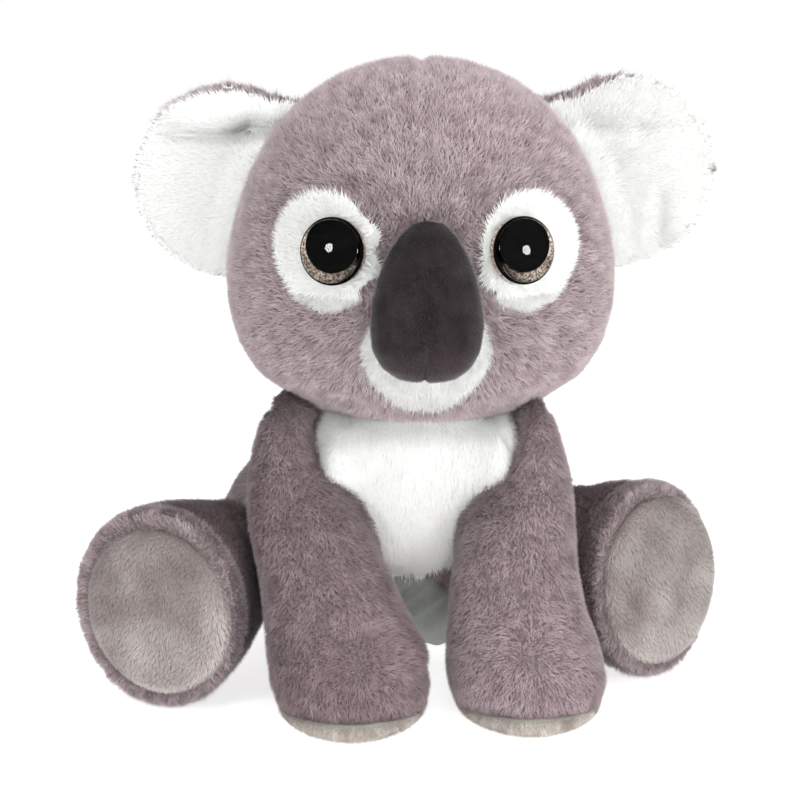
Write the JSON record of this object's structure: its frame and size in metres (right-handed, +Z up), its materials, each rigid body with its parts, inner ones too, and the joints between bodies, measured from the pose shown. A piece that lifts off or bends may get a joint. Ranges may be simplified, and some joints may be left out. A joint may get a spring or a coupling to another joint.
{
  "type": "plush koala",
  "caption": "Sitting plush koala in grey and white fur, front paws down, with a large oval nose, glossy eyes and round ears; head, ears and limbs bend at their sewn seams.",
  "frame": {"origin": "on the floor, under the middle of the toy's outline", "axes": "+Z up, the face looks along -Y, +X to the right as seen from the front"},
  "size_m": [0.3057, 0.2072, 0.3],
  "materials": {
    "grey_fur": "soft long pile, matte",
    "white_fur": "soft long pile, matte",
    "seat_cloth": "plain cloth, matte",
    "paw_sole_cloth": "short velour, matte",
    "foot_sole_cloth": "mottled short velour, matte",
    "nose_velour": "dark velour, matte",
    "fibre": "loose polyester fibre",
    "eye_glitter": "champagne glitter under clear plastic",
    "eye_dome": "clear glossy dome over a dark pupil",
    "eye_washer": "natural moulded plastic"
  },
  "bodies": {
    "trunk": {"trunk_left": "grey_fur", "trunk_right": "grey_fur", "chest_panel": "white_fur", "seat_panel": "seat_cloth", "trunk_filling": "fibre"},
    "head": {"head_left": "grey_fur", "head_right": "grey_fur", "eye_patch_left": "white_fur", "eye_patch_right": "white_fur", "muzzle_patch": "white_fur", "nose_cover": "nose_velour", "nose_filling": "fibre", "head_filling": "fibre", "eye_disc_left": "eye_glitter", "eye_disc_right": "eye_glitter", "eye_lens_left": "eye_dome", "eye_lens_right": "eye_dome", "eye_washer_left": "eye_washer", "eye_washer_right": "eye_washer"},
    "left_ear": {"ear_front_left": "white_fur", "ear_back_left": "grey_fur", "ear_wadding_left": "fibre"},
    "right_ear": {"ear_front_right": "white_fur", "ear_back_right": "grey_fur", "ear_wadding_right": "fibre"},
    "left_arm": {"arm_left": "grey_fur", "paw_sole_left": "paw_sole_cloth", "arm_filling_left": "fibre"},
    "right_arm": {"arm_right": "grey_fur", "paw_sole_right": "paw_sole_cloth", "arm_filling_right": "fibre"},
    "left_leg": {"leg_left": "grey_fur", "foot_sole_left": "foot_sole_cloth", "leg_filling_left": "fibre"},
    "right_leg": {"leg_right": "grey_fur", "foot_sole_right": "foot_sole_cloth", "leg_filling_right": "fibre"}
  },
  "joints": [
    {"name": "head_turn", "type": "hinge", "parent": "trunk", "child": "head", "pos_m": [0.0084, -0.001, 0.137], "axis": [0, 0, 1], "range_deg": [-15, 15], "stiffness_Nm_per_rad": 0.3},
    {"name": "left_shoulder", "type": "hinge", "parent": "trunk", "child": "left_arm", "pos_m": [-0.0556, -0.019, 0.126], "axis": [-1, 0, 0], "range_deg": [0, 25], "stiffness_Nm_per_rad": 0.15},
    {"name": "right_shoulder", "type": "hinge", "parent": "trunk", "child": "right_arm", "pos_m": [0.0624, -0.019, 0.126], "axis": [-1, 0, 0], "range_deg": [0, 25], "stiffness_Nm_per_rad": 0.15},
    {"name": "left_hip", "type": "hinge", "parent": "trunk", "child": "left_leg", "pos_m": [-0.08947, -0.00218, 0.078], "axis": [-0.8988, 0.4384, 0], "range_deg": [0, 14], "stiffness_Nm_per_rad": 0.2},
    {"name": "right_hip", "type": "hinge", "parent": "trunk", "child": "right_leg", "pos_m": [0.08678, 0.02902, 0.07349], "axis": [-0.7314, -0.682, 0], "range_deg": [0, 14], "stiffness_Nm_per_rad": 0.2},
    {"name": "left_ear_fold", "type": "hinge", "parent": "head", "child": "left_ear", "pos_m": [-0.0666, 0.007, 0.236], "axis": [0.3436, 0, 0.9391], "range_deg": [-12, 12], "stiffness_Nm_per_rad": 0.05},
    {"name": "right_ear_fold", "type": "hinge", "parent": "head", "child": "right_ear", "pos_m": [0.0834, 0.007, 0.236], "axis": [-0.3436, 0, 0.9391], "range_deg": [-12, 12], "stiffness_Nm_per_rad": 0.05}
  ]
}
